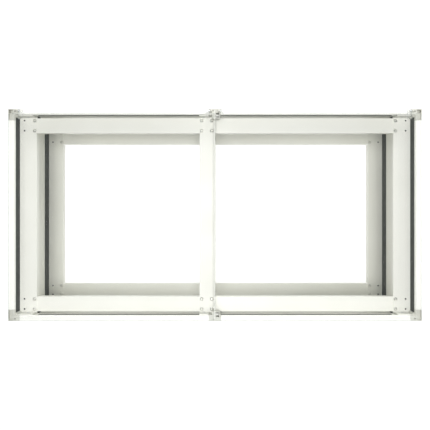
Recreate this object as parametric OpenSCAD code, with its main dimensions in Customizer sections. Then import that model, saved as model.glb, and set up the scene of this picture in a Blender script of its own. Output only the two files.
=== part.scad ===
// Two-bay cold frame: double-skin walls under a folded rim capping, held by
// corner and centre posts, with two bolted ledge rings inside and two clear
// lights hinged along the back. Open at the bottom, so it stands over a bed.
// Millimetres, +X to the right, +Y to the back, +Z up, origin on the ground
// at the centre of the footprint.

/* [Overall] */
// Length over the rim, end to end
frame_l = 1200; // [1000:10:1600]
// Width over the rim, front to back
frame_w = 615; // [560:5:900]
// Height from the ground to the top of the rim
frame_h = 390; // [300:5:500]

/* [Rim and walls] */
// Width of the rim capping over the two end walls
end_cap_w = 20; // [18:1:28]
// Width of the rim capping over the long walls
long_cap_w = 17; // [17:1:28]
// Sheet thickness of cappings, posts and ledge bars
sheet_t = 2; // [1.5:0.5:2.5]
// Height of the outer leg of the capping
cap_leg = 15; // [10:1:25]
// Height of the inner leg of the capping
cap_inner_leg = 8; // [8:1:10]
// Radius of the bend along the inner edge of the end cappings
end_bend_r = 7; // [4:0.5:7]
// Radius of the bend along the inner edge of the long cappings
long_bend_r = 4; // [3:0.5:6]
// Sheet thickness of the wall skins
skin_t = 1; // [0.8:0.1:1.5]

/* [Ledge rings] */
// Depth of the upper ledge below the rim
ledge_drop = 45; // [40:1:60]
// Height of the lower ledge above the ground
lower_ledge = 40; // [32:1:80]
// Width of the two end stiles
stile_w = 50; // [46:1:70]
// Width of the long rails
rail_w = 44; // [42:1:60]
// Gap between a rail and the wall beside it
rail_gap = 5.5; // [3:0.5:12]
// Width of the bar across the middle
bar_w = 46; // [44:1:60]
// Depth of the folded legs under the ledges
lip_h = 22; // [15:1:28]
// Distance between the holes of a corner, along and across
hole_pitch = 30; // [26:1:32]
// Diameter of the holes that take the ring bolts
bolt_hole_d = 6.6; // [6.4:0.1:7]
// Diameter of the spare holes at the four corners of each ring
spare_hole_d = 5; // [4.6:0.1:6]

/* [Lights] */
// Thickness of each clear pane
pane_t = 4; // [3:0.5:6]
// Gap between the two panes over the middle bar
pane_gap = 3; // [2:0.5:8]
// Diameter of the hinge pins
pin_d = 4; // [3:0.5:5]

/* [Hidden] */
$fn = 48;

cream = [0.90, 0.90, 0.86];
charcoal = [0.27, 0.27, 0.25];
zinc = [0.72, 0.73, 0.74];
clear_blue = [0.85, 0.93, 0.95, 0.35];

// Play between sheet parts that only stand side by side
play = 0.2;
// How far a cutting tool runs past the face that it opens
over = 1;

// Faces of the rim, seen from the middle of the frame
rim_x = frame_l / 2;
rim_y = frame_w / 2;
in_x = rim_x - end_cap_w;
in_y = rim_y - long_cap_w;
// Faces of the walls, one sheet inside the faces of the capping
wall_in_x = in_x + sheet_t;
wall_in_y = in_y + sheet_t;
wall_out_x = rim_x - sheet_t;
wall_out_y = rim_y - sheet_t;
wall_h = frame_h - end_bend_r - play;

// Ledges
upper_ledge = frame_h - ledge_drop;
stile_in_x = in_x - stile_w;
stile_end_y = in_y - play;
rail_out_y = wall_in_y - rail_gap;
rail_in_y = rail_out_y - rail_w;
leg_end_y = rail_in_y - 1;
kerb_w = 3;
kerb_h = 0.8;

// Hole pattern of each corner and of the middle bar
bolt_hole_r = bolt_hole_d / 2;
spare_hole_r = spare_hole_d / 2;
row_y = rail_in_y + rail_w / 2;
rows_y = [row_y - hole_pitch / 2, row_y + hole_pitch / 2];
stile_hole_x = stile_in_x + 6.5;
spare_hole_x = stile_hole_x + hole_pitch;
bar_mid_x = -bar_w / 2 - 2;
bar_holes_x = [bar_mid_x - hole_pitch / 2, bar_mid_x + hole_pitch / 2];

// Upturned tabs that hold the rings to the long walls
tab_h = 39;
stile_tab = [stile_in_x + 1, stile_in_x + 42];
bar_tab = [-bar_w, -bar_w + 27];
stile_rivet_x = (stile_tab[0] + stile_tab[1]) / 2;
bar_rivet_x = (bar_tab[0] + bar_tab[1]) / 2;
rivet_r = 2.4;
rivet_hole_r = 2.5;
rivet_rise = 12;

// Rubber strips
seal_h = 15;
seal_out_x = in_x - 64;
stop_x = stile_in_x - 5;
stop_w = 3;
upper_seal_top = frame_h - cap_inner_leg - 0.2;
lower_seal_top = lower_ledge + 44;

// Corner fitting
arm_x = 13;
arm_y = 16;
fit_z = upper_ledge + 0.5;
pocket_w = 13;
pocket_deep = 8;
latch_hole = [11, 9, 17];
corner_roof = frame_h - 20;
spigot_h = 20;
bead_r = 7;
stay_hole_r = 2.2;
stay_hole_deep = 14;
stay_hole_x = in_x - 0.3;
block_x = in_x - 5;
end_wall_y = in_y - arm_y;

// Centre fitting
half_w = 17.4;
lug_reach = 10.5;
lug_x = [-8, 14];
lug_h = 24;
centre_roof = frame_h - lug_h - 4;
web_slot = sheet_t + 0.3;
web_ear_y = rim_y - 3.5;
web_bolt_y = in_y - 1.5;
web_bolt_z = frame_h - 6;
web_bolt_r = 2;
web_head_r = 2.9;
nut_pocket = [3, in_y - 8.5, 9.4, 14];
nut_pocket_deep = 22;

// Hinge line of the lights
hinge_y = rim_y - 6.5;
hinge_z = frame_h + 6.5;
ear_t = 5;
ear_r = 4.8;
ear_w = 8.4;
corner_ear_x = in_x - 12;
centre_ear_x = 9;
pin_r = pin_d / 2;
pin_reach = 5;
block_w = 11;
block_gap = 0.4;
knuckle_r = 5.5;
block_arm_y = 24;
block_arm_t = 3;
pane_lift = 0.3;
pane_back_y = rim_y - 13.5;
pane_chamfer = 5;

// Points on an arc, for outlines
function arc(cx, cy, r, a0, a1, steps = 6) =
    [for (i = [0:steps]) let (a = a0 + (a1 - a0) * i / steps) [cx + r * cos(a), cy + r * sin(a)]];

// Turns a part drawn for the right back quarter into any other quarter
module quarter(sx, sy) {
    mirror([sx < 0 ? 1 : 0, 0, 0]) mirror([0, sy < 0 ? 1 : 0, 0]) children();
}

// Section of a folded capping: inner face at 0, top at 0
module capping_section(w, bend_r) {
    outer_r = 1.5;
    polygon(concat(
        [[0, -cap_inner_leg]],
        arc(bend_r, -bend_r, bend_r, 180, 90),
        arc(w - outer_r, -outer_r, outer_r, 90, 0, 3),
        [[w, -cap_leg], [w - sheet_t, -cap_leg], [w - sheet_t, -sheet_t]],
        arc(bend_r, -bend_r, bend_r - sheet_t, 90, 180),
        [[sheet_t, -cap_inner_leg]]
    ));
}

// Capping that runs across the frame, over an end wall
module run_across(y0, y1) {
    translate([in_x, y1, frame_h])
        rotate([90, 0, 0])
            linear_extrude(y1 - y0)
                capping_section(end_cap_w, end_bend_r);
}

// Capping that runs along the frame, over a long wall
module run_along(x0, x1) {
    translate([x0, in_y, frame_h])
        rotate([90, 0, 90])
            linear_extrude(x1 - x0)
                capping_section(long_cap_w, long_bend_r);
}

module capping_end(sx) {
    reach = end_wall_y - play;
    color(cream) quarter(sx, 1) run_across(-reach, reach);
}

module capping_long(sx, sy) {
    color(cream) quarter(sx, sy) run_along(half_w + play, in_x - arm_x - play);
}

// Upright ear that holds a hinge pin, with its inner face at x
module ear(x) {
    translate([x, hinge_y - ear_w / 2, frame_h - over]) cube([ear_t, ear_w, hinge_z - frame_h + over]);
    translate([x, hinge_y, hinge_z]) rotate([0, 90, 0]) cylinder(r = ear_r, h = ear_t);
}

// Bore along X on the hinge line
module hinge_bore(x0, x1, r) {
    translate([x0, hinge_y, hinge_z]) rotate([0, 90, 0]) cylinder(r = r, h = x1 - x0);
}

// Hollow plug under a fitting, which reaches down into the tube below it
module spigot(x0, y0, x1, y1, roof) {
    inset = sheet_t + 0.1;
    difference() {
        translate([x0 + inset, y0 + inset, fit_z - spigot_h])
            cube([x1 - x0 - 2 * inset, y1 - y0 - 2 * inset, spigot_h + over]);
        hollow(x0, y0, x1, y1, roof);
    }
}

// Room inside a fitting, open at the bottom of its spigot
module hollow(x0, y0, x1, y1, roof) {
    inset = 2 * sheet_t + 0.1;
    translate([x0 + inset, y0 + inset, fit_z - spigot_h - over])
        cube([x1 - x0 - 2 * inset, y1 - y0 - 2 * inset, roof - fit_z + spigot_h + over]);
}

// Cast corner: a hollow block over the post with an open pocket in its top, an
// arm along the long wall and a rounded bead down the inner corner; the back
// pair also has a hinge ear, and a deeper hole in the pocket's outer corner
module corner_fitting(sx, sy) {
    color(cream) quarter(sx, sy) difference() {
        union() {
            translate([in_x, in_y, fit_z]) cube([end_cap_w, long_cap_w, frame_h - fit_z]);
            translate([block_x, in_y, fit_z])
                cube([2 * over + in_x - block_x, long_cap_w, frame_h - long_bend_r - fit_z]);
            translate([block_x, in_y + long_bend_r, fit_z])
                cube([over + in_x - block_x, long_cap_w - long_bend_r, frame_h - fit_z]);
            translate([wall_in_x, end_wall_y, fit_z])
                cube([end_cap_w - sheet_t, arm_y + over, frame_h - end_bend_r - fit_z]);
            run_across(end_wall_y, in_y + over);
            run_along(in_x - arm_x, in_x + over);
            intersection() {
                translate([in_x + over, in_y + over, fit_z])
                    cylinder(r = bead_r, h = frame_h - end_bend_r - fit_z);
                translate([in_x + over - bead_r, in_y + over - bead_r, fit_z])
                    cube([bead_r, bead_r, frame_h - end_bend_r - fit_z]);
            }
            spigot(wall_in_x, end_wall_y, rim_x, rim_y, corner_roof);
            if (sy > 0) ear(corner_ear_x);
        }
        hollow(wall_in_x, end_wall_y, rim_x, rim_y, corner_roof);
        translate([rim_x - sheet_t - pocket_w, end_wall_y + sheet_t, frame_h - pocket_deep])
            cube([pocket_w, rim_y - end_wall_y - 2 * sheet_t, pocket_deep + over]);
        if (sy > 0)
            translate([rim_x - sheet_t, rim_y - sheet_t, frame_h] - latch_hole) cube(latch_hole);
        translate([stay_hole_x, hinge_y, frame_h - stay_hole_deep])
            cylinder(r = stay_hole_r, h = stay_hole_deep + over);
        if (sy > 0) hinge_bore(corner_ear_x - over, corner_ear_x + ear_t + over, pin_r);
    }
}

// Cast centre block: clamps the end of the middle web in a slot; the bolt
// that holds it lies in an open pocket; the back one has two hinge ears
module centre_fitting(sy) {
    slot_z = frame_h - lug_h - play;
    color(cream) quarter(1, sy) difference() {
        union() {
            translate([-half_w, in_y, fit_z]) cube([2 * half_w, long_cap_w, frame_h - fit_z]);
            translate([lug_x[0], in_y - lug_reach, frame_h - lug_h])
                cube([lug_x[1] - lug_x[0], lug_reach + over, lug_h - over]);
            spigot(-half_w, in_y, half_w, rim_y, centre_roof);
            if (sy > 0) ear(centre_ear_x);
            if (sy > 0) ear(-centre_ear_x - ear_t);
        }
        hollow(-half_w, in_y, half_w, rim_y, centre_roof);
        translate([-sheet_t - 0.15, in_y - lug_reach - over, slot_z])
            cube([web_slot, web_ear_y + play - in_y + lug_reach + over, lug_h + over]);
        translate([nut_pocket[0], nut_pocket[1], frame_h - nut_pocket_deep])
            cube([nut_pocket[2], nut_pocket[3], nut_pocket_deep + over]);
        translate([lug_x[0] - over, web_bolt_y, web_bolt_z])
            rotate([0, 90, 0]) cylinder(r = web_bolt_r + 0.1, h = nut_pocket[0] - lug_x[0] + 2 * over);
        translate([-5.5, rim_y - 4.5, frame_h - 6]) cylinder(r = 1.8, h = 6 + over);
        if (sy > 0) hinge_bore(-half_w, half_w, pin_r);
    }
}

// Rectangular tube with its bore open at both ends
module tube(x0, y0, x1, y1) {
    difference() {
        translate([x0, y0, 0]) cube([x1 - x0, y1 - y0, fit_z]);
        translate([x0 + sheet_t, y0 + sheet_t, -over])
            cube([x1 - x0 - 2 * sheet_t, y1 - y0 - 2 * sheet_t, fit_z + 2 * over]);
    }
}

// Corner post: a tube behind the end wall, with a fin that closes the end of
// the long wall
module corner_post(sx, sy) {
    color(cream) quarter(sx, sy) {
        tube(wall_in_x, end_wall_y, rim_x, rim_y);
        translate([block_x, in_y, 0]) cube([wall_in_x + over - block_x, long_cap_w, fit_z]);
    }
}

module centre_post(sy) {
    color(cream) quarter(1, sy) tube(-half_w, in_y, half_w, rim_y);
}

// Outer skin of a wall: a folded tray that is open towards the bed
module wall_end(sx) {
    len = 2 * (end_wall_y - play);
    deep = wall_out_x - wall_in_x;
    color(cream) quarter(sx, 1) difference() {
        translate([wall_in_x, -len / 2, 0]) cube([deep, len, wall_h]);
        translate([wall_in_x - over, -len / 2 + skin_t, skin_t])
            cube([deep - skin_t + over, len - 2 * skin_t, wall_h - 2 * skin_t]);
    }
}

module wall_long(sx, sy) {
    x0 = half_w + play;
    len = block_x - play - x0;
    deep = wall_out_y - wall_in_y;
    color(cream) quarter(sx, sy) difference() {
        translate([x0, wall_in_y, 0]) cube([len, deep, wall_h]);
        translate([x0 + skin_t, wall_in_y - over, skin_t])
            cube([len - 2 * skin_t, deep - skin_t + over, wall_h - 2 * skin_t]);
    }
}

// Hole through a liner or a tab, along Y
module rivet_hole(x, z) {
    translate([x, wall_in_y + 5, z]) rotate([90, 0, 0]) cylinder(r = rivet_hole_r, h = 10);
}

// Inner skin of a wall: a flat sheet that closes the tray
module liner_end(sx) {
    len = 2 * (end_wall_y - 2 * play - skin_t);
    color(cream) quarter(sx, 1)
        translate([wall_in_x, -len / 2, skin_t + play]) cube([skin_t, len, wall_h - 2 * skin_t - 2 * play]);
}

module liner_long(sx, sy) {
    x0 = half_w + 2 * play + skin_t;
    len = block_x - 2 * play - skin_t - x0;
    color(cream) quarter(sx, sy) difference() {
        translate([x0, wall_in_y, skin_t + play]) cube([len, skin_t, wall_h - 2 * skin_t - 2 * play]);
        for (ledge = [upper_ledge, lower_ledge]) {
            rivet_hole(stile_rivet_x, ledge + rivet_rise);
            if (sx < 0) rivet_hole(-bar_rivet_x, ledge + rivet_rise);
        }
    }
}

// Holes through a ledge at every crossing of the given lines
module ledge_holes(xs, ys, top, r) {
    for (x = xs, y = ys)
        translate([x, y, top - 2 * sheet_t - over]) cylinder(r = r, h = 2 * sheet_t + 2 * over);
}

// End stile: a channel with a low kerb along the wall, legs folded down on
// both sides and an upturned tab at each end
module stile(sx, top) {
    tab_len = stile_tab[1] - stile_tab[0];
    kerb_len = 2 * (in_y + over - bead_r - 0.5);
    color(cream) quarter(sx, 1) difference() {
        union() {
            translate([stile_in_x, -stile_end_y, top - sheet_t]) cube([stile_w, 2 * stile_end_y, sheet_t]);
            translate([in_x - kerb_w, -kerb_len / 2, top - sheet_t])
                cube([kerb_w, kerb_len, sheet_t + kerb_h]);
            translate([in_x - sheet_t, -kerb_len / 2, top - lip_h]) cube([sheet_t, kerb_len, lip_h]);
            translate([stile_in_x, -leg_end_y, top - lip_h]) cube([sheet_t, 2 * leg_end_y, lip_h]);
            for (end = [-stile_end_y, stile_end_y - sheet_t])
                translate([stile_tab[0], end, top - sheet_t]) cube([tab_len, sheet_t, tab_h + sheet_t]);
        }
        ledge_holes([stile_hole_x], concat(rows_y, -rows_y), top, bolt_hole_r);
        ledge_holes([spare_hole_x], concat(rows_y, -rows_y), top, spare_hole_r);
        for (sy = [-1, 1]) quarter(1, sy) rivet_hole(stile_rivet_x, top + rivet_rise);
    }
}

// Bar across the middle: a channel; the upper one carries an upright web
// that rises to the rim, so that both panes have an inner edge to lie on
module centre_bar(top, with_web) {
    tab_len = bar_tab[1] - bar_tab[0];
    web_y = in_y - lug_reach - play;
    color(cream) difference() {
        union() {
            translate([-bar_w, -stile_end_y, top - sheet_t]) cube([bar_w, 2 * stile_end_y, sheet_t]);
            for (x = [-bar_w, -sheet_t])
                translate([x, -leg_end_y, top - lip_h]) cube([sheet_t, 2 * leg_end_y, lip_h]);
            for (end = [-stile_end_y, stile_end_y - sheet_t])
                translate([bar_tab[0], end, top - sheet_t]) cube([tab_len, sheet_t, tab_h + sheet_t]);
            if (with_web) {
                translate([-sheet_t, -web_y, top - sheet_t])
                    cube([sheet_t, 2 * web_y, frame_h - top + sheet_t]);
                translate([-sheet_t, -web_ear_y, frame_h - lug_h]) cube([sheet_t, 2 * web_ear_y, lug_h]);
            }
        }
        ledge_holes(bar_holes_x, concat(rows_y, -rows_y), top, bolt_hole_r);
        for (sy = [-1, 1]) quarter(1, sy) {
            rivet_hole(bar_rivet_x, top + rivet_rise);
            translate([-sheet_t - over, web_bolt_y, web_bolt_z])
                rotate([0, 90, 0]) cylinder(r = web_bolt_r + 0.1, h = sheet_t + 2 * over);
        }
    }
}

// Long rail: a channel between stile and middle bar, whose flat ends run
// under both of them
module rail(sx, sy, top) {
    flat_x0 = sx < 0 ? -bar_mid_x + 0.5 : bar_mid_x + 0.5;
    leg_x0 = sx < 0 ? bar_w + 0.5 : 0.5;
    flat_x1 = in_x - sheet_t - play;
    leg_x1 = stile_in_x - 0.5;
    face = top - sheet_t;
    bar_x = sx < 0 ? -bar_holes_x[0] : bar_holes_x[1];
    color(cream) quarter(sx, sy) difference() {
        union() {
            translate([flat_x0, rail_in_y, face - sheet_t]) cube([flat_x1 - flat_x0, rail_w, sheet_t]);
            for (y = [rail_in_y, rail_out_y - sheet_t])
                translate([leg_x0, y, face - lip_h]) cube([leg_x1 - leg_x0, sheet_t, lip_h]);
        }
        ledge_holes([bar_x, stile_hole_x], rows_y, top, bolt_hole_r);
        ledge_holes([spare_hole_x], rows_y, top, spare_hole_r);
    }
}

// Rubber strip between a ring and the end wall; it stands above the ledge
module seal(sx, z0, z1, half_len) {
    color(charcoal) quarter(sx, 1)
        translate([in_x, -half_len, z0]) cube([sheet_t - 0.05, 2 * half_len, z1 - z0]);
}

// Narrow rubber strips under the rim of a long wall, one for each bay, and the
// small rubber stops that end the gap between rail and wall beside the stiles
module long_seal(sy) {
    color(charcoal) for (sx = [-1, 1]) quarter(sx, sy) {
        x0 = sx < 0 ? bar_w - 1 : half_w + play;
        translate([x0, in_y, upper_seal_top - seal_h]) cube([seal_out_x - x0, sheet_t - 0.05, seal_h]);
        translate([stop_x, rail_out_y + play, upper_ledge - lip_h])
            cube([stop_w, rail_gap - 2 * play, lip_h - play]);
    }
}

// Dome head with a hex recess, and its shank
module bolt() {
    head_r = 5.3;
    head_h = 3.3;
    dome_r = (head_r * head_r + head_h * head_h) / (2 * head_h);
    difference() {
        intersection() {
            translate([0, 0, head_h - dome_r]) sphere(r = dome_r);
            cylinder(r = head_r + over, h = head_h + over);
        }
        translate([0, 0, 1]) cylinder(r = 2.1, h = head_h, $fn = 6);
    }
    translate([0, 0, -2 * sheet_t - 8]) cylinder(r = 3, h = 2 * sheet_t + 8.5);
}

module nut() {
    nut_h = 5;
    translate([0, 0, -2 * sheet_t - nut_h]) difference() {
        cylinder(r = 5.77, h = nut_h, $fn = 6);
        translate([0, 0, -over]) cylinder(r = 3.05, h = nut_h + 2 * over);
    }
}

// Every place where a ring is bolted: the inner pair of each stile end and
// all four holes of the middle bar at each side
module at_ring_bolts() {
    for (top = [upper_ledge, lower_ledge], sy = [-1, 1], row = rows_y) {
        for (x = [-stile_hole_x, stile_hole_x]) translate([x, sy * row, top]) children();
        for (x = bar_holes_x) translate([x, sy * row, top]) children();
    }
}

// Closed-end threaded insert, flush with the ledge
module threaded_insert() {
    sleeve_r = spare_hole_r - 0.02;
    thread_r = 2;
    reach = 14;
    flare = 3;
    difference() {
        union() {
            translate([0, 0, -reach]) cylinder(r = sleeve_r, h = reach);
            translate([0, 0, -2 * sheet_t - flare - 0.1]) cylinder(r = 4, h = flare);
        }
        translate([0, 0, 1.5 - reach]) cylinder(r = thread_r, h = reach);
    }
}

module threaded_inserts() {
    color(charcoal) for (top = [upper_ledge, lower_ledge], sx = [-1, 1], sy = [-1, 1], row = rows_y)
        translate([sx * spare_hole_x, sy * row, top]) threaded_insert();
}

module ring_bolts() {
    color(zinc) at_ring_bolts() bolt();
}

module ring_nuts() {
    color(zinc) at_ring_bolts() nut();
}

// Blind rivet drawn for the back wall, pointing to +Y from the tab's face
module rivet() {
    head_r = 4.5;
    head_h = 1.8;
    dome_r = (head_r * head_r + head_h * head_h) / (2 * head_h);
    grip = wall_in_y - stile_end_y + sheet_t + skin_t;
    rotate([90, 0, 0]) {
        intersection() {
            translate([0, 0, head_h - dome_r]) sphere(r = dome_r);
            cylinder(r = head_r + over, h = head_h + over);
        }
        translate([0, 0, -grip - 3]) cylinder(r = rivet_r, h = grip + 3.5);
        translate([0, 0, -grip - 3.1]) cylinder(r = 3.6, h = 3);
    }
}

module wall_rivets() {
    color(zinc) for (top = [upper_ledge, lower_ledge], sy = [-1, 1])
        quarter(1, sy)
            for (x = [-stile_rivet_x, stile_rivet_x, bar_rivet_x])
                translate([x, stile_end_y - sheet_t, top + rivet_rise]) rivet();
}

// Cross bolts that clamp the web in the centre fittings
module web_bolts() {
    color(cream) for (sy = [-1, 1])
        translate([0, sy * web_bolt_y, web_bolt_z]) rotate([0, 90, 0]) {
            translate([0, 0, lug_x[0] + 1]) cylinder(r = web_bolt_r, h = nut_pocket[0] - lug_x[0]);
            translate([0, 0, nut_pocket[0]]) cylinder(r = web_head_r, h = nut_pocket[2] - 2);
        }
}

// Stub pins on the hinge line: from each ear into the block beside it
module hinge_pins() {
    color(zinc) for (sx = [-1, 1]) quarter(sx, 1) {
        hinge_bore(corner_ear_x - pin_reach, corner_ear_x + ear_t, pin_r);
        hinge_bore(centre_ear_x, centre_ear_x + ear_t + pin_reach, pin_r);
    }
}

// Clear pane lying on the rim, with its corners cut off
module light(sx) {
    x0 = pane_gap / 2;
    x1 = rim_x - 2;
    y0 = -rim_y + 2;
    y1 = pane_back_y;
    c = pane_chamfer;
    color(clear_blue) quarter(sx, 1)
        translate([0, 0, frame_h + pane_lift])
            linear_extrude(pane_t)
                polygon([[x0, y0], [x1 - c, y0], [x1, y0 + c], [x1, y1 - c], [x1 - c, y1], [x0, y1]]);
}

// Clear hinge block: a knuckle on the hinge line and an arm on the pane
module hinge_block(x, bore_x0, bore_x1) {
    arm_z = frame_h + pane_lift + pane_t;
    difference() {
        union() {
            hinge_bore(x, x + block_w, knuckle_r);
            translate([x, hinge_y - block_arm_y, arm_z]) cube([block_w, block_arm_y, block_arm_t]);
        }
        hinge_bore(bore_x0, bore_x1, pin_r + 0.05);
    }
}

module hinge_blocks(sx) {
    outer_x = corner_ear_x - block_gap - block_w;
    inner_x = centre_ear_x + ear_t + block_gap;
    color(clear_blue) quarter(sx, 1) {
        hinge_block(outer_x, corner_ear_x - pin_reach - 0.5, corner_ear_x);
        hinge_block(inner_x, centre_ear_x + ear_t, centre_ear_x + ear_t + pin_reach + 0.5);
    }
}

capping_end(-1);  // capping_end_left
capping_end(1);  // capping_end_right
capping_long(-1, -1);  // capping_front_left
capping_long(1, -1);  // capping_front_right
capping_long(-1, 1);  // capping_back_left
capping_long(1, 1);  // capping_back_right
corner_fitting(-1, -1);  // corner_fitting_front_left
corner_fitting(1, -1);  // corner_fitting_front_right
corner_fitting(-1, 1);  // corner_fitting_back_left
corner_fitting(1, 1);  // corner_fitting_back_right
centre_fitting(-1);  // centre_fitting_front
centre_fitting(1);  // centre_fitting_back
corner_post(-1, -1);  // corner_post_front_left
corner_post(1, -1);  // corner_post_front_right
corner_post(-1, 1);  // corner_post_back_left
corner_post(1, 1);  // corner_post_back_right
centre_post(-1);  // centre_post_front
centre_post(1);  // centre_post_back
wall_end(-1);  // wall_end_left
wall_end(1);  // wall_end_right
wall_long(-1, -1);  // wall_front_left
wall_long(1, -1);  // wall_front_right
wall_long(-1, 1);  // wall_back_left
wall_long(1, 1);  // wall_back_right
liner_end(-1);  // liner_end_left
liner_end(1);  // liner_end_right
liner_long(-1, -1);  // liner_front_left
liner_long(1, -1);  // liner_front_right
liner_long(-1, 1);  // liner_back_left
liner_long(1, 1);  // liner_back_right
stile(-1, upper_ledge);  // upper_stile_left
stile(1, upper_ledge);  // upper_stile_right
centre_bar(upper_ledge, true);  // upper_centre_bar
rail(-1, -1, upper_ledge);  // upper_rail_front_left
rail(1, -1, upper_ledge);  // upper_rail_front_right
rail(-1, 1, upper_ledge);  // upper_rail_back_left
rail(1, 1, upper_ledge);  // upper_rail_back_right
stile(-1, lower_ledge);  // lower_stile_left
stile(1, lower_ledge);  // lower_stile_right
centre_bar(lower_ledge, false);  // lower_centre_bar
rail(-1, -1, lower_ledge);  // lower_rail_front_left
rail(1, -1, lower_ledge);  // lower_rail_front_right
rail(-1, 1, lower_ledge);  // lower_rail_back_left
rail(1, 1, lower_ledge);  // lower_rail_back_right
seal(-1, upper_ledge - lip_h, upper_seal_top, 284);  // seal_upper_left
seal(1, upper_ledge - lip_h, upper_seal_top, 284);  // seal_upper_right
seal(-1, lower_ledge - lip_h, lower_seal_top, 288);  // seal_lower_left
seal(1, lower_ledge - lip_h, lower_seal_top, 288);  // seal_lower_right
long_seal(-1);  // seal_front
long_seal(1);  // seal_back
ring_bolts();
ring_nuts();
threaded_inserts();
wall_rivets();
web_bolts();
hinge_pins();
light(-1);  // light_left
light(1);  // light_right
hinge_blocks(-1);  // hinge_blocks_left
hinge_blocks(1);  // hinge_blocks_right
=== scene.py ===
# %% [markdown]
# # A two-bay cold frame in powder-coated sheet steel
# This lesson dresses a finished assembly. The structure is already there as fixed parts: walls, rim cappings,
# corner and centre fittings, two bolted ledge rings, rubber strips and two clear lights on hinges. What is left for
# Blender is how the surfaces look: folded edges that catch the light, a satin powder coat with its orange peel, matt
# rubber, plated hardware and clear sheet. Nothing structural is moved or resized here.

# %% Load the fixed parts
import math

import bpy
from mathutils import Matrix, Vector


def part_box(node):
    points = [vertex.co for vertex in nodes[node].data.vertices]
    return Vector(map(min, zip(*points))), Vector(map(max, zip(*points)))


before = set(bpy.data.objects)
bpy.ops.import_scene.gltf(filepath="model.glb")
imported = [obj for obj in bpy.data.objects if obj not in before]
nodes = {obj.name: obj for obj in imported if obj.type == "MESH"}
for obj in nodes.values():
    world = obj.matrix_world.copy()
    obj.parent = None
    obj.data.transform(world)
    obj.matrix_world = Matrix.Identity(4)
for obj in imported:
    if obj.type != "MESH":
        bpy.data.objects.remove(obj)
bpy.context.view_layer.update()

# %% [markdown]
# ## Camera
# The frame is looked at straight from above, with the back of the frame towards the top of the picture. A 50 mm
# lens about 1.7 m over the rim shows both ledge rings inside each other. The lens stands a little to the right of
# and behind the centre, and a small shift of the film back brings the outline into the middle again, as a view
# camera does. Aiming a tilted camera instead would make the rim's edges converge.

# %% Make the camera
IMAGE_SIZE = 430
LENS = 0.050
FILM = 0.036
CAMERA_OFFSET = Vector((0.009, 0.019))
CAMERA_HEIGHT = 1.731

rim_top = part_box("capping_end_left")[1].z
camera_data = bpy.data.cameras.new("camera")
camera_data.lens = LENS * 1000
camera_data.sensor_width = FILM * 1000
camera_data.clip_start = 0.05
camera_data.clip_end = 50
film_share = LENS / FILM / CAMERA_HEIGHT
camera_data.shift_x = -CAMERA_OFFSET.x * film_share
camera_data.shift_y = -CAMERA_OFFSET.y * film_share
camera = bpy.data.objects.new("camera", camera_data)
camera.location = (CAMERA_OFFSET.x, CAMERA_OFFSET.y, rim_top + CAMERA_HEIGHT)
bpy.context.scene.collection.objects.link(camera)
bpy.context.scene.camera = camera
print("one metre at the rim is", round(film_share * IMAGE_SIZE), "of", IMAGE_SIZE, "across the image")

# %% [markdown]
# ## Shader maths as Python
# A material is a small network of nodes. Wiring each Math node by hand hides the idea, so one class wraps a socket
# and overloads the operators: `peel * 0.3 + 0.7` then adds the two Math nodes by itself. Any other node comes from
# one method of the finish, which sets the node's options first and then its sockets.

# %% Wrap sockets and finishes
# Colour sockets of the Mix node, which has one set for each kind of value
MIX_SHARE = 0
MIX_PLAIN = 6
MIX_OTHER = 7
MIX_RESULT = 2


class Signal:
    """An output socket that takes part in Python expressions."""

    def __init__(self, finish, socket):
        self.finish = finish
        self.socket = socket

    def _math(self, operation, first, second):
        return self.finish.node("ShaderNodeMath", {"operation": operation}, {0: first, 1: second})

    def __add__(self, other):
        return self._math("ADD", self, other)

    __radd__ = __add__

    def __mul__(self, other):
        return self._math("MULTIPLY", self, other)

    __rmul__ = __mul__

    def __sub__(self, other):
        return self._math("SUBTRACT", self, other)

    def __rsub__(self, other):
        return self._math("SUBTRACT", other, self)

    def __pow__(self, other):
        return self._math("POWER", self, other)


class Finish:
    """One material, with a Principled shader at its end."""

    def __init__(self, name):
        self.material = bpy.data.materials.new(name)
        self.material.use_nodes = True
        self.tree = self.material.node_tree
        self.tree.nodes.clear()

    def node(self, kind, settings=None, sockets=None, output=0):
        made = self.tree.nodes.new(kind)
        for key, value in (settings or {}).items():
            setattr(made, key, value)
        for key, value in (sockets or {}).items():
            if isinstance(value, Signal):
                self.tree.links.new(value.socket, made.inputs[key])
            else:
                made.inputs[key].default_value = value
        return Signal(self, made.outputs[output]) if made.outputs else made

    def place(self):
        """Where a point lies on the frame, in metres."""
        return self.node("ShaderNodeTexCoord", output="Object")

    def stretched(self, scale):
        """The same place, with each axis scaled on its own."""
        return self.node("ShaderNodeVectorMath", {"operation": "MULTIPLY"}, {0: self.place(), 1: scale})

    def noise(self, scale, detail=2.0, vector=None):
        """Cloudy noise from 0 to 1, with about that many features to the metre."""
        return self.node("ShaderNodeTexNoise", {"noise_dimensions": "3D"},
                         {"Vector": vector or self.place(), "Scale": scale, "Detail": detail})

    def ease(self, value, low, high, to_low=0.0, to_high=1.0):
        """Eases value from low..high to to_low..to_high."""
        return self.node("ShaderNodeMapRange", {"interpolation_type": "SMOOTHSTEP"},
                         {"Value": value, "From Min": low, "From Max": high, "To Min": to_low, "To Max": to_high})

    def blend(self, share, plain, other):
        """Colour that goes from plain to other as share goes from 0 to 1."""
        return self.node("ShaderNodeMix", {"data_type": "RGBA"},
                         {MIX_SHARE: share, MIX_PLAIN: plain, MIX_OTHER: other}, output=MIX_RESULT)

    def finish(self, sockets, bump=None, strength=0.5, distance=0.0001):
        """Ends the material in a Principled shader, with a bump if there is one."""
        if bump is not None:
            sockets["Normal"] = self.node("ShaderNodeBump", None,
                                          {"Height": bump, "Strength": strength, "Distance": distance})
        surface = self.node("ShaderNodeBsdfPrincipled", None, sockets)
        self.node("ShaderNodeOutputMaterial", None, {"Surface": surface})
        return self.material


def colour(red, green, blue):
    return (red, green, blue, 1.0)

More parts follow.
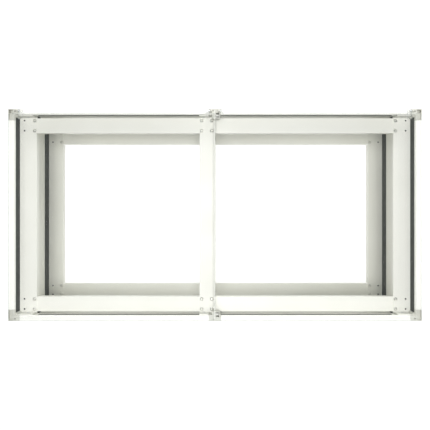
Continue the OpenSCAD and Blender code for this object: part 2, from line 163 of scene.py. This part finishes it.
# %% [markdown]
# ## Powder coat
# The sheet parts are sprayed with dry powder and baked. The melt levels out but keeps a fine ripple, called orange
# peel, about a millimetre or two across, and the coat is thinnest on outer folds. A glossy flat colour would look
# like plastic, so the finish has three scales: the peel as a bump, a faint dusty cloudiness of the colour over a
# hand's width, and a paler line where the Bevel node finds an edge, partly rubbed coat and partly a painted
# highlight of the light a rounded fold catches.

# %% Mix the powder coats
def powder_coat(name, tint, rubbed_and_highlit, dusty, roughness=0.38, peel_scale=620.0, grain=0.0):
    coat = Finish(name)
    peel = coat.noise(peel_scale, 1.5)
    cloud = coat.noise(7.0, 3.0)
    rounded = coat.node("ShaderNodeBevel", {"samples": 4}, {"Radius": 0.0012})
    face = coat.node("ShaderNodeNewGeometry", output="Normal")
    along = coat.node("ShaderNodeVectorMath", {"operation": "DOT_PRODUCT"}, {0: rounded, 1: face}, output="Value")
    # paler colour along edges: partly rubbed coat, partly a painted highlight on the folds
    edge = coat.ease(along, 0.995, 0.86)
    shaded = coat.blend(coat.ease(cloud, 0.3, 0.7) * 0.6, colour(*tint), colour(*dusty))
    worn_and_highlit = coat.blend(edge * 0.55, shaded, colour(*rubbed_and_highlit))
    return coat.finish(
        {"Base Color": worn_and_highlit, "Roughness": coat.ease(peel + cloud * 0.5, 0.4, 1.1, roughness - 0.05, roughness + 0.07),
         "IOR": 1.5, "Specular IOR Level": 0.5},
        bump=peel * (1.0 + grain), strength=0.25, distance=0.00004)


ring_coat = powder_coat("ring_powder_coat", (0.80, 0.80, 0.74), (0.90, 0.90, 0.86), (0.76, 0.76, 0.69), 0.36)
wall_coat = powder_coat("wall_powder_coat", (0.80, 0.80, 0.735), (0.89, 0.89, 0.85), (0.76, 0.76, 0.69), 0.38)
# The rims get a paler copy of the same cream coat: painted light for the top faces that catch the most light.
rim_coat_painted_lighter = powder_coat("rim_painted_lighter_powder_coat", (0.88, 0.88, 0.83), (0.94, 0.94, 0.91), (0.85, 0.85, 0.79), 0.34)
cast_coat = powder_coat("cast_powder_coat", (0.62, 0.62, 0.56), (0.76, 0.76, 0.71), (0.55, 0.55, 0.49), 0.46,
                        peel_scale=380.0, grain=0.5)
print("powder coats:", [m.name for m in bpy.data.materials if m.name.endswith("powder_coat")])

# %% [markdown]
# ## Rubber, plating, black oxide and clear sheet
# The strips along the walls are extruded rubber. Extrusion leaves fine lines along the strip, and a bloom of grey
# dust sits on them. Plated hardware is metal with a cloudy spangle: zinc for nuts, rivets and pins, a warmer nickel
# for the ring bolts. The threaded inserts are oiled steel coloured near black, which paints the shade inside their
# holes. The clear sheet is nearly invisible from straight on and whiter at a low angle, a painted reflection made by
# raising its opacity, and its sawn edges are made more opaque, a painted highlight of the light they gather.

# %% Mix rubber, plating, black oxide and clear sheet
def extruded_rubber():
    rubber = Finish("strip_rubber")
    lines = rubber.noise(1.0, 2.0, rubber.stretched((900.0, 6.0, 900.0)))
    bloom = rubber.noise(45.0, 4.0)
    skin = rubber.blend(rubber.ease(bloom, 0.45, 0.8) * 0.6 + lines * 0.2,
                        colour(0.024, 0.025, 0.021), colour(0.054, 0.054, 0.047))
    return rubber.finish({"Base Color": skin, "Roughness": rubber.ease(bloom, 0.3, 0.7, 0.62, 0.82),
                          "Specular IOR Level": 0.3}, bump=lines, strength=0.5, distance=0.0001)


def plated(name, dark, bright, smoothest):
    zinc = Finish(name)
    spangle = zinc.node("ShaderNodeTexVoronoi", {"feature": "F1"},
                        {"Vector": zinc.place(), "Scale": 700.0}, output="Color")
    shade = zinc.node("ShaderNodeSeparateColor", None, {"Color": spangle}, output="Red")
    cloud = zinc.noise(180.0, 3.0)
    skin = zinc.blend(shade * 0.6 + cloud * 0.3, colour(*dark), colour(*bright))
    rough = zinc.ease(cloud, 0.3, 0.7, smoothest, smoothest + 0.15)
    return zinc.finish({"Base Color": skin, "Metallic": 1.0, "Roughness": rough},
                       bump=shade + cloud, strength=0.2, distance=0.00003)


# Near black: this colour also paints the shade inside the insert holes.
def black_oxide():
    black = Finish("black_steel")
    oil = black.noise(260.0, 3.0)
    skin = black.blend(black.ease(oil, 0.35, 0.7), colour(0.020, 0.020, 0.021), colour(0.055, 0.053, 0.050))
    return black.finish({"Base Color": skin, "Roughness": black.ease(oil, 0.3, 0.7, 0.35, 0.55),
                         "Specular IOR Level": 0.5}, bump=oil, strength=0.2, distance=0.00005)


def clear_sheet(name, tint, thinnest, thickest_with_painted_reflection):
    clear = Finish(name)
    normal = clear.node("ShaderNodeNewGeometry", output="Normal")
    upright = clear.node("ShaderNodeSeparateXYZ", None, {"Vector": clear.node(
        "ShaderNodeVectorMath", {"operation": "ABSOLUTE"}, {0: normal})}, output="Z")
    graze_painted_reflection = clear.node("ShaderNodeLayerWeight", None, {"Blend": 0.5}, output="Facing")
    sawn = clear.ease(upright, 0.8, 0.3)
    smear = clear.noise(14.0, 3.0)
    # Alpha rises at grazing angles and on sawn edges so the pale tint shows: painted reflection on the faces, painted
    # highlight on the edges.
    cover_with_painted_glare = (graze_painted_reflection ** 3.0) * (thickest_with_painted_reflection - thinnest) + smear * 0.01 + thinnest
    return clear.finish({"Base Color": colour(*tint), "Alpha": cover_with_painted_glare * (1 - sawn) + sawn * 0.45,
                         "Roughness": clear.ease(smear, 0.3, 0.8, 0.04, 0.12), "IOR": 1.3})


strip_rubber = extruded_rubber()
zinc = plated("zinc_plate", (0.62, 0.63, 0.64), (0.80, 0.81, 0.82), 0.28)
bolt_finish = plated("bolt_nickel", (0.66, 0.66, 0.62), (0.80, 0.80, 0.76), 0.34)
black_steel = black_oxide()
clear_pane = clear_sheet("clear_pane", (0.80, 0.90, 0.88), 0.012, 0.30)
clear_block = clear_sheet("clear_block", (0.93, 0.96, 0.96), 0.02, 0.16)
print("other finishes:", [m.name for m in (strip_rubber, zinc, bolt_finish, black_steel, clear_pane, clear_block)])

# %% [markdown]
# ## Soften the folded edges
# Sheet that has been folded, and a casting that has been tumbled, have no perfectly sharp edge: each edge is a
# small radius that catches a line of light. A Bevel modifier gives each part with a radius in the table below that
# radius as real geometry. The parts arrive as loose triangles, and a bevel on triangles leaves dark spikes across the
# flat sheet. So a Weld joins them and a planar Decimate turns each flat area into one face before the bevel, and a
# Weighted Normal keeps large faces flat in shading.

# %% Dress every part
FOLD = 0.0007
CAST = 0.0009
FINE = 0.0003
WELD_GAP = 0.00001
SAME_PLANE = math.radians(1)
SHARP_FOLD = math.radians(35)


def soften(part, radius):
    weld = part.modifiers.new("weld", "WELD")
    weld.merge_threshold = WELD_GAP
    flat = part.modifiers.new("whole_faces", "DECIMATE")
    flat.decimate_type = "DISSOLVE"
    flat.angle_limit = SAME_PLANE
    bevel = part.modifiers.new("soft_edges", "BEVEL")
    bevel.width = radius
    bevel.segments = 2
    bevel.limit_method = "ANGLE"
    bevel.angle_limit = SHARP_FOLD
    bevel.use_clamp_overlap = True
    normals = part.modifiers.new("flat_faces", "WEIGHTED_NORMAL")
    normals.keep_sharp = True


DRESS = [
    ("capping_", rim_coat_painted_lighter, FOLD),
    ("corner_fitting_", cast_coat, CAST),
    ("centre_fitting_", cast_coat, CAST),
    ("corner_post_", wall_coat, FOLD),
    ("centre_post_", wall_coat, FOLD),
    ("wall_rivets", zinc, 0),
    ("wall_", wall_coat, FOLD),
    ("liner_", wall_coat, FINE),
    ("upper_", ring_coat, FOLD),
    ("lower_", ring_coat, FOLD),
    ("seal_", strip_rubber, FINE),
    ("ring_bolts", bolt_finish, 0),
    ("ring_nuts", zinc, FINE),
    ("threaded_inserts", black_steel, 0),
    ("web_bolts", rim_coat_painted_lighter, FINE),
    ("hinge_pins", zinc, FINE),
    ("light_", clear_pane, FINE),
    ("hinge_blocks_", clear_block, FINE),
]
for name, part in nodes.items():
    finish, radius = next((f, r) for start, f, r in DRESS if name.startswith(start))
    part.data.materials.clear()
    part.data.materials.append(finish)
    if radius:
        soften(part, radius)
print("dressed:", len(nodes), "parts")

# %% [markdown]
# ## Studio
# The frame stands on a pale floor that glows faintly, so the ground inside the bays stays white. Most of the light
# comes from a soft box high over the middle, with small ones beside it and in front. Two low boxes behind the back
# corners, the right one stronger, rake across the ledges and shape the bolt heads. The sky adds very little.

# %% Light the studio
FLOOR_HALF = 6.0
FLOOR_DROP = 0.0002
FLOOR_GLOW = 0.64
SKY_STRENGTH = 0.02
LAMP_TARGET = (0, 0, 0.3)


def floor_finish():
    paper = Finish("studio_floor")
    grain = paper.noise(300.0, 2.0)
    return paper.finish({"Base Color": paper.blend(grain, colour(0.55, 0.55, 0.55), colour(0.57, 0.57, 0.57)),
                         "Roughness": 0.9, "Emission Color": colour(1, 1, 1), "Emission Strength": FLOOR_GLOW})


def studio_floor():
    sheet = bpy.data.meshes.new("studio_floor")
    corners = [(-FLOOR_HALF, -FLOOR_HALF, 0), (FLOOR_HALF, -FLOOR_HALF, 0),
               (FLOOR_HALF, FLOOR_HALF, 0), (-FLOOR_HALF, FLOOR_HALF, 0)]
    sheet.from_pydata([Vector(c) - Vector((0, 0, FLOOR_DROP)) for c in corners], [], [(0, 1, 2, 3)])
    sheet.materials.append(floor_finish())
    floor = bpy.data.objects.new("studio_floor", sheet)
    bpy.context.scene.collection.objects.link(floor)
    return floor


def soft_box(name, place, target, size, power):
    lamp = bpy.data.lights.new(name, "AREA")
    lamp.shape = "SQUARE"
    lamp.size = size
    lamp.energy = power
    box = bpy.data.objects.new(name, lamp)
    box.location = place
    box.rotation_euler = (Vector(target) - Vector(place)).to_track_quat("-Z", "Y").to_euler()
    bpy.context.scene.collection.objects.link(box)
    return box


studio_floor()
LAMPS = [
    ("over_box", (0.0, 0.0, 4.0), 1.2, 84),
    ("left_box", (-1.1, 0.0, 2.6), 0.8, 7),
    ("right_box", (1.1, 0.0, 2.6), 0.8, 7),
    ("front_box", (0.0, -1.1, 2.6), 0.8, 7),
    ("far_right_box", (2.1, 2.1, 1.4), 1.6, 60),
    ("far_left_box", (-1.5, 2.6, 1.4), 1.6, 30),
]
for name, place, size, power in LAMPS:
    soft_box(name, place, LAMP_TARGET, size, power)

sky = bpy.data.worlds.new("studio_sky")
sky.use_nodes = True
sky.node_tree.nodes["Background"].inputs["Color"].default_value = (1, 1, 1, 1)
sky.node_tree.nodes["Background"].inputs["Strength"].default_value = SKY_STRENGTH
bpy.context.scene.world = sky
bpy.context.scene.view_settings.view_transform = "Standard"
